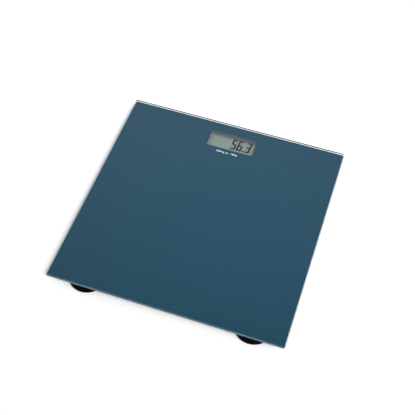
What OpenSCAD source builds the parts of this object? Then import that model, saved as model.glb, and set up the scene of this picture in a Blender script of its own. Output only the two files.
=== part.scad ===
// Bathroom scale: a glass platform on four load-cell feet, with an electronics housing
// under its back edge. Millimetres, +Z up, the floor at z = 0, the display edge towards +Y.

/* [Platform] */
// Width of the glass, left to right
plate_w = 300; // [290:5:380]
// Depth of the glass, front to back
plate_d = 300; // [240:5:380]
// Thickness of the tempered glass
glass_t = 5; // [4:0.5:8]
// Radius of the glass corners in plan
corner_r = 3; // [2:0.5:12]
// Width of the flat arris ground along the edges of the glass
arris = 0.4; // [0.3:0.1:1]
// Height of the glass underside above the floor
under_h = 19; // [19:0.5:24]
// Thickness of the colour coat printed on the glass underside
coat_t = 0.2; // [0.1:0.05:0.4]
// Clear margin between the coat and the edge of the glass
coat_margin = 1; // [0:0.1:3]
// Thickness of the foam tape under the coat
tape_t = 0.5; // [0.3:0.1:0.8]

/* [Display] */
// Width of the display window, left to right
window_w = 64.2; // [54:0.1:78]
// Depth of the display window, front to back
window_d = 27; // [24:0.1:36]
// Distance from the back edge of the glass to the window
window_back = 15.5; // [12:0.5:30]
// Offset of the window to the right of the centre line
window_x = 0.5; // [-5:0.5:5]
// Depth of the display's face below the coat
display_drop = 5.5; // [4:0.1:6]
// How far the well stands back behind the edges of the window
well_margin = 1; // [0.5:0.1:2]
// How far the display reaches under the frame of the well
lcd_lap = 2; // [1:0.1:3]
// Wall of the frame that holds the display
frame_wall = 1.5; // [1.2:0.1:2]
// Thickness of the front glass of the display
lcd_front_t = 0.9; // [0.5:0.1:1.1]
// Thickness of the rear glass of the display
lcd_rear_t = 1.1; // [0.5:0.1:1.1]
// Width of the bare contact ledge on the front glass
lcd_ledge = 3; // [2.8:0.1:4]
// Thickness of the reflector sheet
reflector_t = 0.2; // [0.1:0.05:0.3]
// Height of the elastomer connector
zebra_h = 2.8; // [2.5:0.1:4]
// Width of the elastomer connector
zebra_w = 2; // [1.6:0.1:2.4]

/* [Housing] */
// Outer wall of the housing's two shells
shell_wall = 2; // [1.6:0.1:2.4]
// Thickness of the tray's top plate
tray_top = 1.8; // [1.2:0.1:2.4]
// Corner radius of the housing in plan
housing_r = 7; // [5:0.5:7]
// Thickness of the cover's floor
cover_t = 1.6; // [1.4:0.1:2]
// Height of the cover's outer wall, up to the seam
cover_rim = 2.5; // [2.2:0.1:3]
// Height of the cover's lip above the seam
lip_h = 1.5; // [1:0.1:2]
// Thickness of the cover's lip
lip_t = 1.2; // [1:0.1:1.5]
// Depth of the strip in front of the display that holds the wire ends
front_strip = 12.8; // [12:0.1:20]
// Gap between moulded parts that stay still
fit = 0.2; // [0.1:0.05:0.3]
// Diameter of the housing screws
screw_d = 2.4; // [2:0.1:2.6]
// Length of the housing screws under the head
screw_len = 9; // [7:0.5:9]
// Outer diameter of the screw bosses
boss_d = 6.4; // [6:0.1:6.6]
// Thickness of the ribs in the housing
rib_t = 1; // [0.8:0.1:1.2]

/* [Circuit board] */
// Thickness of the circuit board
board_t = 1.2; // [1:0.1:1.6]
// Clear height between the circuit board and the cover's floor
board_room = 2.8; // [2.7:0.1:4]
// Side of the tact switch
switch_side = 6; // [4.5:0.5:6]
// Height of the tact switch's body
switch_h = 1.5; // [1.4:0.1:1.6]
// Diameter of the switch's stem
stem_d = 3.2; // [2.5:0.1:3.5]
// Diameter of the unit button
button_d = 8; // [6:0.5:10]
// Travel of the unit button
button_travel = 0.4; // [0.3:0.05:0.45]

/* [Battery bay] */
// Diameter of the coin cell
cell_d = 20; // [16:0.5:24.5]
// Thickness of the coin cell
cell_t = 3.2; // [2.6:0.1:3.2]
// Wall of the battery bay
bay_wall = 1.6; // [1.2:0.1:2]
// Diameter of the door's hinge trunnions
trunnion_d = 1.6; // [1.4:0.1:1.8]
// Radial clearance of the trunnions in their ears
trunnion_gap = 0.08; // [0.05:0.01:0.1]
// Gap round the battery door
door_gap = 0.25; // [0.2:0.05:0.4]
// Thickness of the spring contacts
leaf_t = 0.3; // [0.2:0.05:0.4]
// Width of the spring contacts
leaf_w = 2.6; // [2:0.1:4]

/* [Feet] */
// Outer diameter of a foot
foot_d = 48; // [43:0.5:52]
// Distance from the side edge of the glass to the rim of a foot
foot_side = 19.5; // [8:0.5:24]
// Distance from the front or back edge of the glass to the rim of a foot
foot_end = 1; // [0.5:0.5:20]
// Height of the moving cup
cup_h = 11.5; // [10.5:0.1:11.8]
// Wall of the cup and of the carrier's skirt
cup_wall = 1.6; // [1.2:0.1:1.7]
// Thickness of the cup's floor
cup_floor = 2.2; // [2:0.1:2.6]
// Thickness of the carrier's top plate
carrier_top = 1.8; // [1.4:0.1:2.2]
// Travel of the cup under load
foot_travel = 0.5; // [0.3:0.1:0.6]
// Gap between the cup and the carrier
run_gap = 0.3; // [0.25:0.05:0.4]
// Depth of the space that the two snap rings share
snap_depth = 1.2; // [1.1:0.1:1.4]
// Height of each snap ring
snap_h = 1.2; // [1:0.1:1.4]
// Diameter of the rubber pad
pad_d = 34; // [28:0.5:38]
// Thickness of the rubber pad
pad_t = 2; // [1.6:0.1:2.5]
// How far the pad stands below the cup
pad_stand = 1; // [0.6:0.1:1.2]

/* [Load cells and wires] */
// Side of the load cell's square plate
cell_side = 26; // [22:0.5:26]
// Thickness of the load cell's plate
cell_plate_t = 1.6; // [1.2:0.1:2]
// Width of the load cell's outer frame
cell_frame = 4.2; // [3.2:0.2:4.4]
// Width of the slot round the load cell's tongue
cell_slot = 2; // [1.5:0.1:2.5]
// Diameter of a wire
wire_d = 1.1; // [0.8:0.1:1.2]
// Distance between the centres of neighbouring wires
wire_pitch = 1.4; // [1.3:0.1:1.5]
// Outer width of the channel over the wires
channel_w = 8; // [7:0.5:12]
// Wall of the channel over the wires
channel_wall = 1; // [0.8:0.1:1.5]

/* [Hidden] */
$fn = 64;
small_fn = 32;
eps = 0.01;

FEET = [
    ["front_left", -1, -1],
    ["front_right", 1, -1],
    ["back_left", -1, 1],
    ["back_right", 1, 1]
];
FOOT_PIECES = [
    "foot_tape", "foot_carrier", "load_cell", "strain_gauge",
    "foot_cup", "foot_pad", "cell_lead", "lead_cover"
];

clear_glass = [0.75, 0.88, 0.9, 0.4];
coat_blue = [0.2, 0.34, 0.42];
black = [0.07, 0.07, 0.075];
dark = [0.14, 0.14, 0.15];
steel = [0.72, 0.73, 0.75];
lcd_grey = [0.53, 0.6, 0.56];
board_green = [0.1, 0.35, 0.2];
silicone = [0.93, 0.93, 0.9];
wire_red = [0.7, 0.1, 0.1];

// Levels of the platform
coat_z = under_h - coat_t;
mount_z = coat_z - tape_t;

// Plan of the display
window_y = plate_d / 2 - window_back - window_d / 2;
well_w = window_w + 2 * well_margin;
well_d = window_d + 2 * well_margin;
lcd_w = well_w + 2 * lcd_lap;
lcd_d = well_d + 2 * lcd_lap;
frame_w = lcd_w + 2 * (fit + frame_wall);
frame_d = lcd_d + 2 * (fit + frame_wall);
window_r = 1;

// Levels of the display and the housing, worked out downwards from the coat
lcd_z = coat_z - display_drop;
lcd_front_z = lcd_z - lcd_front_t;
lcd_rear_z = lcd_front_z - lcd_rear_t;
reflector_z = lcd_rear_z - reflector_t;
board_top = lcd_front_z - zebra_h;
board_z = board_top - board_t;
cover_in = board_z - board_room;
cover_z = cover_in - cover_t;
seam_z = cover_z + cover_rim;
lip_z = seam_z + lip_h;
tray_z = seam_z + fit / 2;
tray_in = mount_z - tray_top;

// Plan of the battery bay, beside the display
cell_play = 0.5;
bay_gap = 0.4;
bay_w = cell_d + 2 * cell_play + 2 * leaf_t;
bay_x1 = window_x - frame_w / 2 - bay_gap - bay_wall;
bay_x0 = bay_x1 - bay_w;

// Plan of the housing, worked out outwards from the display and the bay
side_room = 3.3;
back_room = 2.3;
housing_w = frame_w + 2 * (bay_gap + 2 * bay_wall + bay_w + side_room + shell_wall);
housing_y0 = window_y - frame_d / 2 - front_strip - shell_wall;
housing_y1 = window_y + frame_d / 2 + back_room + shell_wall;
housing_d = housing_y1 - housing_y0;
housing_y = (housing_y0 + housing_y1) / 2;
cover_edge = 1;
rib_h = 0.8;
rib_step = 15;

// Housing screws
boss_inset = shell_wall + 4;
boss_x = housing_w / 2 - boss_inset;
boss_y = housing_d / 2 - boss_inset;
screw_gap = 0.05;
screw_head_d = 4.6;
screw_head_h = 1.6;
screw_sink = 0.8;
screw_z = cover_z + screw_sink + screw_head_h;
boss_rib_z = lip_z + 1;
boss_rib_reach = boss_inset - shell_wall / 2;

// Hinge and levels of the battery bay
barrel_r = cover_t - 0.2;
hinge_z = cover_z + barrel_r;
hinge_y = window_y - frame_d / 2 + 1.8;
bay_y0 = hinge_y - barrel_r - door_gap;
cell_y = hinge_y + barrel_r + 0.8 + cell_d / 2;
cell_x = bay_x0 + leaf_t + cell_play + cell_d / 2;
tongue_room = 2.6;
bay_y1 = cell_y + cell_d / 2 + tongue_room;
bay_d = bay_y1 - bay_y0;
cell_ring_h = 0.5;
cell_ring_r = 8;
cell_ring_wall = 1.2;
cell_z = cover_in + cell_ring_h + 0.1;
leaf_room = 1.2;
bay_in = cell_z + cell_t + leaf_room;
bay_roof = 1.2;
bay_top = bay_in + bay_roof;
ear_t = 2.2;
ear_d = 4.8;
ear_top = hinge_z + barrel_r + 1;
trunnion_len = 1.7;
minus_y = cell_y - 0.3 * cell_d;
tail_x = bay_x1 + bay_wall + 5.5;

// Circuit board
board_x0 = bay_x1 + bay_wall + 2.9;
board_x1 = window_x + housing_w / 2 - shell_wall - 2 * boss_inset - 1;
board_y0 = housing_y0 + shell_wall + 1.5;
board_y1 = housing_y1 - shell_wall - 2.5;
board_w = board_x1 - board_x0;
board_d = board_y1 - board_y0;
board_screw_d = 2;
board_screw_len = 5;
board_screw_head_d = 3.8;
board_screw_head_h = 1.1;
board_boss_d = 5;
board_boss_inset = 3.5;
BOARD_SCREWS = [
    [window_x, board_y0 + board_boss_inset],
    [board_x1 - board_boss_inset, board_y0 + board_boss_inset],
    [board_x1 - board_boss_inset, board_y1 - board_boss_inset]
];

// Unit switch and its button
switch_x = (window_x + frame_w / 2 + board_x1) / 2;
switch_y = window_y - 4;
switch_z = board_z - switch_h;
button_top = switch_z - button_travel - 0.1;
button_flange_d = button_d + 2.4;
button_flange_h = 0.5;
button_sink = 0.3;

// Feet: levels from the floor up, radii from the outside in
foot_r = foot_d / 2;
foot_x = plate_w / 2 - foot_side - foot_r;
foot_y = plate_d / 2 - foot_end - foot_r;
cup_top = pad_stand + cup_h;
cup_in_z = pad_stand + cup_floor;
cup_in_r = foot_r - cup_wall;
cup_edge = 2;
skirt_r = cup_in_r - snap_depth;
skirt_in_r = skirt_r - cup_wall;
snap_z = cup_top - snap_h;
collar_z = cup_top + foot_travel + 0.5;
carrier_in = mount_z - carrier_top;
pad_gap = 0.15;

// Load cells, below the snap ring's level
plate_z = snap_z - run_gap;
plate_top = plate_z + cell_plate_t;
plate_r = 4;
skirt_z = plate_z - 1.4;
dimple_h = 0.5;
dimple_d = 7;
pusher_top = plate_z - dimple_h - foot_travel - 0.1;
rib_top = skirt_z - foot_travel - 0.5;
gauge_h = 1;
gauge_w = 8;
gauge_d = 7;
gauge_x = cell_side / 4;
clip_w = 7;

// Wires run level from the gauges to the board
wire_z = carrier_in - 0.65 - wire_d / 2;
wire_bend = 1.2;
slot_w = 3 * wire_pitch + 1;
slot_z = wire_z - wire_d / 2 - 0.4;
slot_h = wire_d + 0.8;
channel_z = wire_z - wire_d / 2 - fit - channel_wall;
channel_flange = 2;
channel_flange_t = 0.8;

function foot_at(foot) = [foot[1] * foot_x, foot[2] * foot_y];

// The back wires pass the front corner of the display's frame at this distance
corner_pass = wire_pitch + wire_d / 2 + 0.25;
front_end = [17, board_y0 + 3.5];
back_end_y = board_y0 + 5;
corner_way = [foot_x - abs(window_x) - frame_w / 2, foot_y - window_y + frame_d / 2];
back_angle = atan2(corner_way[1], corner_way[0]) + asin(corner_pass / norm(corner_way));
back_end_x = round(2 * (foot_x - abs(window_x) - (foot_y - back_end_y) / tan(back_angle))) / 2;
back_end = [back_end_x, back_end_y];

// Where a foot's wires end on the board
function wire_end(foot) =
    let (end = foot[2] < 0 ? front_end : back_end)
        [window_x + foot[1] * end[0], end[1]];
function wire_run(foot) = wire_end(foot) - foot_at(foot);
function wire_angle(foot) = atan2(wire_run(foot)[1], wire_run(foot)[0]);

// Distance along the wires from the centre of a foot to the housing's outer wall
function wall_reach(foot) =
    foot[2] < 0
        ? (housing_y0 + foot_y) / sin(wire_angle(foot))
        : (foot_x - foot[1] * window_x - housing_w / 2) / abs(cos(wire_angle(foot)));

// Points of a circular arc, for profiles
function arc(centre, r, from, to, steps = 6) = [
    for (i = [0:steps])
        let (a = from + (to - from) * i / steps)
            [centre[0] + r * cos(a), centre[1] + r * sin(a)]
];

// A rectangle with rounded corners, centred
module rounded(w, d, r) {
    square([w - 2 * r, d], center = true);
    square([w, d - 2 * r], center = true);
    for (x = [-1, 1], y = [-1, 1])
        translate([x * (w / 2 - r), y * (d / 2 - r)])
            circle(r);
}

// A frame inside a rounded rectangle
module ring(w, d, r, wall) {
    difference() {
        rounded(w, d, r);
        rounded(w - 2 * wall, d - 2 * wall, r - wall);
    }
}

// A plate with rounded corners whose lower and upper edges are cut back at 45 degrees
module edged_plate(w, d, t, r, low, high) {
    function side(s) = [
        [low - s, 0], [s - low, 0], [s, low], [s, t - high],
        [s - high, t], [high - s, t], [-s, t - high], [-s, low]
    ];
    rotate([90, 0, 0])
        linear_extrude(d - 2 * r, center = true)
            polygon(side(w / 2));
    rotate([90, 0, 90])
        linear_extrude(w - 2 * r, center = true)
            polygon(side(d / 2));
    for (i = [0:3])
        translate([(i == 0 || i == 3 ? 1 : -1) * (w / 2 - r), (i < 2 ? 1 : -1) * (d / 2 - r), 0])
            rotate([0, 0, i * 90])
                rotate_extrude(angle = 90)
                    polygon([[0, 0], [r - low, 0], [r, low], [r, t - high], [r - high, t], [0, t]]);
}

// A profile drawn in X and Z, carried along Y
module along_y(length) {
    rotate([90, 0, 0])
        linear_extrude(length, center = true)
            children();
}

module at_window() {
    translate([window_x, window_y, 0])
        children();
}

module at_housing() {
    translate([window_x, housing_y, 0])
        children();
}

module at_housing_screws() {
    for (x = [-1, 1], y = [-1, 1])
        at_housing()
            translate([x * boss_x, y * boss_y, 0])
                children();
}

module at_board_screws() {
    for (p = BOARD_SCREWS)
        translate([p[0], p[1], 0])
            children();
}

// Places its children at a foot, turned so that +X points along the wires
module at_foot(foot) {
    translate(foot_at(foot))
        rotate([0, 0, wire_angle(foot)])
            children();
}

module glass_platform() {
    color(clear_glass)
        translate([0, 0, under_h])
            edged_plate(plate_w, plate_d, glass_t, corner_r, arris, arris);
}

module colour_coat() {
    color(coat_blue)
        translate([0, 0, coat_z])
            linear_extrude(coat_t)
                difference() {
                    rounded(
                        plate_w - 2 * coat_margin,
                        plate_d - 2 * coat_margin,
                        max(corner_r - coat_margin, 1)
                    );
                    at_window() rounded(window_w, window_d, window_r);
                }
}

module housing_tape() {
    inset = 1;
    color(dark)
        translate([0, 0, mount_z])
            linear_extrude(tape_t)
                difference() {
                    at_housing() rounded(housing_w - 2 * inset, housing_d - 2 * inset, housing_r - inset);
                    at_window() rounded(well_w, well_d, window_r);
                }
}

// A cut through the tray's wall for one foot's wires
module wall_slot(foot) {
    at_foot(foot)
        translate([wall_reach(foot) - 2, -slot_w / 2, slot_z])
            cube([shell_wall + 5, slot_w, slot_h]);
}

module housing_tray() {
    color(black)
        difference() {
            union() {
                at_housing() {
                    translate([0, 0, tray_in])
                        linear_extrude(tray_top)
                            rounded(housing_w, housing_d, housing_r);
                    translate([0, 0, tray_z])
                        linear_extrude(tray_in - tray_z + eps)
                            ring(housing_w, housing_d, housing_r, shell_wall);
                }
                // Frame round the display
                at_window()
                    translate([0, 0, reflector_z])
                        linear_extrude(tray_in - reflector_z + eps)
                            rounded(frame_w, frame_d, window_r);
                // Screw bosses, and the ribs that tie them to the walls
                at_housing_screws()
                    translate([0, 0, lip_z + fit / 2])
                        cylinder(h = tray_in - lip_z, d = boss_d);
                at_housing()
                    for (x = [-1, 1], y = [-1, 1])
                        mirror([x < 0 ? 1 : 0, 0, 0])
                            mirror([0, y < 0 ? 1 : 0, 0])
                                translate([boss_x, boss_y, boss_rib_z]) {
                                    translate([0, -rib_t / 2, 0])
                                        cube([boss_rib_reach, rib_t, tray_in - boss_rib_z + eps]);
                                    translate([-rib_t / 2, 0, 0])
                                        cube([rib_t, boss_rib_reach, tray_in - boss_rib_z + eps]);
                                }
                // Posts that the circuit board is screwed to
                at_board_screws()
                    translate([0, 0, board_top])
                        cylinder(h = tray_in - board_top + eps, d = board_boss_d);
            }
            // Well under the window, and the pocket that the display lies in
            at_window() {
                translate([0, 0, reflector_z - 1])
                    linear_extrude(mount_z - reflector_z + 2)
                        rounded(well_w, well_d, window_r);
                translate([0, 0, reflector_z - 1])
                    linear_extrude(lcd_z - reflector_z + 1)
                        square([lcd_w + 2 * fit, lcd_d + 2 * fit], center = true);
            }
            at_housing_screws()
                translate([0, 0, lip_z])
                    cylinder(h = screw_z + screw_len + 0.5 - lip_z, d = screw_d + 2 * screw_gap);
            at_board_screws()
                translate([0, 0, board_top - 1])
                    cylinder(h = board_screw_len + 0.5, d = board_screw_d + 2 * screw_gap);
            for (foot = FEET)
                wall_slot(foot);
        }
}

module housing_cover() {
    rim_wall = shell_wall + fit + lip_t;
    rib_inset = shell_wall + fit;
    stop = 2.5;
    color(black)
        difference() {
            union() {
                at_housing() {
                    // Floor and outer wall, hollowed out from above
                    difference() {
                        translate([0, 0, cover_z])
                            edged_plate(housing_w, housing_d, cover_rim, housing_r, cover_edge, 0);
                        translate([0, 0, cover_in])
                            linear_extrude(cover_rim)
                                rounded(
                                    housing_w - 2 * rim_wall,
                                    housing_d - 2 * rim_wall,
                                    housing_r - rim_wall
                                );
                    }
                    // Lip that stands inside the tray's wall
                    translate([0, 0, seam_z - 0.5])
                        linear_extrude(lip_h + 0.5)
                            ring(
                                housing_w - 2 * (shell_wall + fit),
                                housing_d - 2 * (shell_wall + fit),
                                housing_r - shell_wall - fit,
                                lip_t
                            );
                }
                at_housing_screws()
                    translate([0, 0, cover_in - eps])
                        cylinder(h = lip_z - cover_in + eps, d = boss_d);
                // Ribs across the floor, clear of the bay and of the button
                for (i = [-1.5:1.5])
                    translate([window_x + i * rib_step - rib_t / 2, housing_y0 + rib_inset, cover_in - eps])
                        cube([rib_t, housing_d - 2 * rib_inset, rib_h + eps]);
                translate([bay_x1, window_y - frame_d / 2 - 3, cover_in - eps])
                    cube([window_x + 1.5 * rib_step - bay_x1, rib_t, rib_h + eps]);
                // Ring that keeps the button upright
                translate([switch_x, switch_y, cover_in - eps])
                    cylinder(h = button_flange_h + 0.8, d = button_flange_d + 2 * (run_gap + 1.2));
                // Battery bay, and the ears on its sides for the door's trunnions
                translate([bay_x0 - bay_wall, bay_y0 - bay_wall, cover_in - eps])
                    cube([bay_w + 2 * bay_wall, bay_d + 2 * bay_wall, bay_top - cover_in + eps]);
                translate([bay_x0 - ear_t, hinge_y - ear_d / 2, cover_in - eps])
                    cube([bay_w + 2 * ear_t, ear_d, ear_top - cover_in]);
            }
            // Room for the cell and the door
            difference() {
                translate([bay_x0, bay_y0, cover_z - 1])
                    cube([bay_w, bay_d, bay_in - cover_z + 1]);
                // Corner stops that the closed door rests against
                for (x = [bay_x0 - 1, bay_x1 + 1 - stop])
                    translate([x, bay_y1 + 1 - stop, cover_in + 0.05])
                        cube([stop, stop, 1]);
            }
            translate([bay_x0 - ear_t - 1, hinge_y, hinge_z])
                rotate([0, 90, 0])
                    cylinder(h = bay_w + 2 * ear_t + 2, d = trunnion_d + 2 * trunnion_gap, $fn = small_fn);
            // Slots for the tails of the contacts
            for (y = [cell_y, minus_y])
                translate([bay_x1 - 1, y - leaf_w / 2 - fit, board_top - fit / 2])
                    cube([bay_wall + 2, leaf_w + 2 * fit, leaf_t + fit]);
            // Screw holes with sunk heads
            at_housing_screws() {
                translate([0, 0, cover_z - 1])
                    cylinder(h = screw_z - cover_z + 1, d = screw_head_d + 0.6);
                translate([0, 0, cover_z])
                    cylinder(h = lip_z, d = screw_d + 0.5);
            }
            translate([switch_x, switch_y, cover_z - 1])
                cylinder(h = cover_t + 2, d = button_d + 2 * run_gap);
            translate([switch_x, switch_y, cover_in])
                cylinder(h = 2, d = button_flange_d + 2 * run_gap);
        }
}

// A pan-head screw, head down, with the underside of its head at z = 0
module screw(d, length, head_d, head_h) {
    rotate_extrude($fn = small_fn)
        polygon(concat(
            [[0, -head_h]],
            arc([head_d / 2 - 0.6, 0.6 - head_h], 0.6, -90, 0, 3),
            [[head_d / 2, 0], [d / 2, 0], [d / 2, length - d / 2], [d / 8, length], [0, length]]
        ));
}

// The cross recess in a screw's head, cut four tenths of its size deep
module cross_recess(head_d, head_h) {
    size = head_d * 0.52;
    for (a = [0, 90])
        rotate([0, 0, a])
            translate([-size / 2, -size / 8, -head_h - 1])
                cube([size, size / 4, 1 + size * 0.4]);
}

module housing_screws() {
    color(steel)
        at_housing_screws()
            translate([0, 0, screw_z])
                difference() {
                    screw(screw_d, screw_len, screw_head_d, screw_head_h);
                    cross_recess(screw_head_d, screw_head_h);
                }
}

module board_screws() {
    color(steel)
        at_board_screws()
            translate([0, 0, board_z])
                difference() {
                    screw(board_screw_d, board_screw_len, board_screw_head_d, board_screw_head_h);
                    cross_recess(board_screw_head_d, board_screw_head_h);
                }
}

module lcd_front_glass() {
    color(lcd_grey)
        at_window()
            translate([0, 0, lcd_front_z])
                linear_extrude(lcd_front_t)
                    square([lcd_w, lcd_d], center = true);
}

module lcd_rear_glass() {
    color(lcd_grey)
        at_window()
            translate([-lcd_w / 2, lcd_ledge - lcd_d / 2, lcd_rear_z])
                cube([lcd_w, lcd_d - lcd_ledge, lcd_rear_t]);
}

module lcd_reflector() {
    color(steel)
        at_window()
            translate([0.5 - lcd_w / 2, lcd_ledge + 0.5 - lcd_d / 2, reflector_z])
                cube([lcd_w - 1, lcd_d - lcd_ledge - 1, reflector_t]);
}

module zebra_strip() {
    color(dark)
        at_window()
            translate([5 - lcd_w / 2, (lcd_ledge - zebra_w) / 2 - lcd_d / 2, board_top])
                cube([lcd_w - 10, zebra_w, zebra_h]);
}

module lcd_foam_strip() {
    foam_w = 3;
    color(dark)
        at_window()
            translate([5 - lcd_w / 2, lcd_d / 2 - foam_w - 1, board_top])
                cube([lcd_w - 10, foam_w, reflector_z - board_top]);
}

module circuit_board() {
    color(board_green)
        translate([(board_x0 + board_x1) / 2, (board_y0 + board_y1) / 2, board_z])
            difference() {
                linear_extrude(board_t)
                    rounded(board_w, board_d, 1.5);
                translate([-(board_x0 + board_x1) / 2, -(board_y0 + board_y1) / 2, -1])
                    at_board_screws()
                        cylinder(h = board_t + 2, d = board_screw_d + 0.4);
            }
}

module chip_seal() {
    r = 7;
    h = 1.4;
    seal_at = [6, -4];
    sphere_r = (r * r + h * h) / (2 * h);
    rim_angle = asin(r / sphere_r) - 90;
    color(black)
        translate([window_x + seal_at[0], window_y + seal_at[1], board_z])
            rotate_extrude()
                polygon(concat([[0, 0]], arc([0, sphere_r - h], sphere_r, rim_angle, -90, 8)));
}

// Chip capacitors and resistors in two rows, and the crystal's can
module board_parts() {
    part_w = 1.6;
    part_d = 0.8;
    part_h = 0.6;
    first = [-24, -8];
    step = [3.6, 9];
    crystal_d = 2;
    crystal_len = 6;
    crystal_at = [-8, 9];
    color([0.75, 0.66, 0.5]) {
        for (i = [0:5], row = [0, 1])
            translate([
                window_x + first[0] + i * step[0],
                window_y + first[1] + row * step[1],
                board_z - part_h
            ])
                cube([part_w, part_d, part_h]);
        translate([window_x + crystal_at[0], window_y + crystal_at[1], board_z - crystal_d / 2])
            rotate([0, 90, 0])
                cylinder(h = crystal_len, d = crystal_d, $fn = small_fn);
    }
}

module unit_switch() {
    color(steel)
        translate([switch_x, switch_y, switch_z])
            difference() {
                linear_extrude(switch_h)
                    square(switch_side, center = true);
                translate([0, 0, -1])
                    cylinder(h = switch_h + 2, d = stem_d + 0.2, $fn = small_fn);
            }
}

module unit_switch_stem() {
    color(black)
        translate([switch_x, switch_y, button_top])
            cylinder(h = board_z - button_travel - 0.1 - button_top, d = stem_d, $fn = small_fn);
}

// Cap with a finger dish below and a flange above the cover's floor
module unit_button() {
    dish_r = 14;
    color(dark)
        translate([switch_x, switch_y, 0])
            difference() {
                union() {
                    translate([0, 0, cover_z + button_sink])
                        cylinder(h = button_top - cover_z - button_sink, d = button_d);
                    translate([0, 0, cover_in + 0.1])
                        cylinder(h = button_flange_h, d = button_flange_d);
                }
                translate([0, 0, cover_z + button_sink + 0.4 - dish_r])
                    sphere(dish_r);
            }
}

// Coin cell: the can below, the smaller cap above
module coin_cell() {
    r = cell_d / 2;
    color(steel)
        translate([cell_x, cell_y, cell_z])
            rotate_extrude()
                polygon(concat(
                    [[0, 0]],
                    arc([r - 0.5, 0.5], 0.5, -90, 0, 3),
                    [[r, cell_t - 0.35], [r - 0.5, cell_t - 0.15], [r - 1, cell_t - 0.15],
                        [r - 1.2, cell_t - 0.4], [r - 1.5, cell_t - 0.1], [r - 1.8, cell_t], [0, cell_t]]
                ));
}

// Leaf at the side of the cell, with a pressed rib that touches the can and a tail on the board
module battery_contact_plus() {
    x = bay_x1 - leaf_t;
    color(steel) {
        translate([x, cell_y - leaf_w / 2, cell_z + 0.2])
            cube([leaf_t, leaf_w, board_top + leaf_t - cell_z - 0.2]);
        translate([x, cell_y - leaf_w / 2, board_top])
            cube([tail_x - x, leaf_w, leaf_t]);
        intersection() {
            translate([x, cell_y, cell_z + 0.4])
                cylinder(h = cell_t - 0.9, r = cell_play - 0.1, $fn = small_fn);
            translate([x - 1, cell_y - 1, cell_z])
                cube([1 + eps, 2, cell_t]);
        }
    }
}

// Leaf under the bay's ceiling, with a finger that presses on the cell and a tail on the board
module battery_contact_minus() {
    x0 = cell_x - 6;
    x1 = bay_x1 - 0.9;
    touch = cell_z + cell_t + 0.05;
    color(steel)
        translate([0, minus_y, 0]) {
            along_y(leaf_w)
                polygon([
                    [x0, bay_in], [x1 + leaf_t, bay_in], [x1 + leaf_t, board_top + leaf_t],
                    [tail_x, board_top + leaf_t], [tail_x, board_top], [x1, board_top],
                    [x1, bay_in - leaf_t], [x0, bay_in - leaf_t]
                ]);
            along_y(leaf_w)
                polygon([
                    [x0, bay_in], [x0, bay_in - leaf_t], [cell_x + 1, touch],
                    [cell_x + 2.6, touch + 0.5], [cell_x + 2.4, touch + 0.7], [cell_x + 1, touch + leaf_t],
                    [x0 + 0.8, bay_in - leaf_t], [x0 + 0.8, bay_in]
                ]);
        }
}

// Door of the battery bay: a plate that turns on two trunnions, with a spring tongue at its free end
module battery_door() {
    door_x0 = bay_x0 + door_gap;
    door_w = bay_w - 2 * door_gap;
    door_y1 = bay_y1 - door_gap;
    mid_x = (bay_x0 + bay_x1) / 2;
    tongue_w = 8;
    tongue_len = 8;
    tongue_slot = 0.8;
    color(dark)
        difference() {
            union() {
                translate([door_x0, hinge_y, cover_z])
                    cube([door_w, door_y1 - hinge_y, cover_t]);
                translate([door_x0, hinge_y, hinge_z])
                    rotate([0, 90, 0])
                        cylinder(h = door_w, r = barrel_r, $fn = small_fn);
                translate([bay_x0 - trunnion_len, hinge_y, hinge_z])
                    rotate([0, 90, 0])
                        cylinder(h = bay_w + 2 * trunnion_len, d = trunnion_d, $fn = small_fn);
                // Ring that the cell lies on
                translate([cell_x, cell_y, cover_in - eps])
                    difference() {
                        cylinder(h = cell_ring_h, r = cell_ring_r);
                        translate([0, 0, -1])
                            cylinder(h = cell_ring_h + 2, r = cell_ring_r - cell_ring_wall);
                    }
                // Nose of the spring tongue
                translate([mid_x, door_y1, cover_in])
                    rotate([0, 0, 90])
                        along_y(tongue_w)
                            polygon([[0, -eps], [0, 0.5], [-0.5, 0.9], [-1.5, 0.9], [-1.5, -eps]]);
                // Grip ridges
                for (i = [0:2])
                    translate([mid_x, door_y1 - 1.4 - i * 1.8, cover_z])
                        rotate([0, 90, 0])
                            cylinder(h = tongue_w - 2, r = 0.35, center = true, $fn = 16);
            }
            for (s = [-1, 1])
                translate([mid_x + s * (tongue_w + tongue_slot) / 2, door_y1 - tongue_len / 2, cover_z])
                    cube([tongue_slot, tongue_len + 1, 2 * cover_t + 3], center = true);
        }
}

module foot_tape(foot) {
    color(dark)
        at_foot(foot)
            translate([0, 0, mount_z])
                cylinder(h = tape_t, r = foot_r - 1);
}

// Clip that holds one side of the load cell's frame, drawn at the +X side
module cell_clip() {
    inner = cell_side / 2 - cell_frame + 0.5;
    edge = cell_side / 2 + fit;
    back = edge + 1.2;
    hook = cell_side / 2 - 0.9;
    along_y(clip_w)
        polygon([
            [inner, carrier_in + eps], [inner, plate_top], [edge, plate_top], [edge, plate_z - 0.1],
            [hook, plate_z - 0.1], [hook, plate_z - 0.5], [edge, plate_z - 1.3], [back, plate_z - 1.3],
            [back, carrier_in + eps]
        ]);
}

// Carrier stuck to the glass: a collar outside, and inside it a skirt with the snap ring
module foot_carrier(foot) {
    bead_r = cup_in_r - run_gap;
    color(black)
        at_foot(foot)
            difference() {
                union() {
                    rotate_extrude()
                        polygon([
                            [0, mount_z], [foot_r - 0.5, mount_z], [foot_r, mount_z - 0.5],
                            [foot_r, collar_z], [skirt_r, collar_z], [skirt_r, snap_z - run_gap],
                            [bead_r, snap_z - run_gap], [bead_r, snap_z - run_gap - 0.6],
                            [skirt_r, skirt_z], [skirt_in_r, skirt_z], [skirt_in_r, carrier_in],
                            [0, carrier_in]
                        ]);
                    for (a = [90, 180, 270])
                        rotate([0, 0, a])
                            cell_clip();
                }
                translate([skirt_in_r - 2, -slot_w / 2, slot_z])
                    cube([foot_r, slot_w, slot_h]);
            }
}

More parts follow.
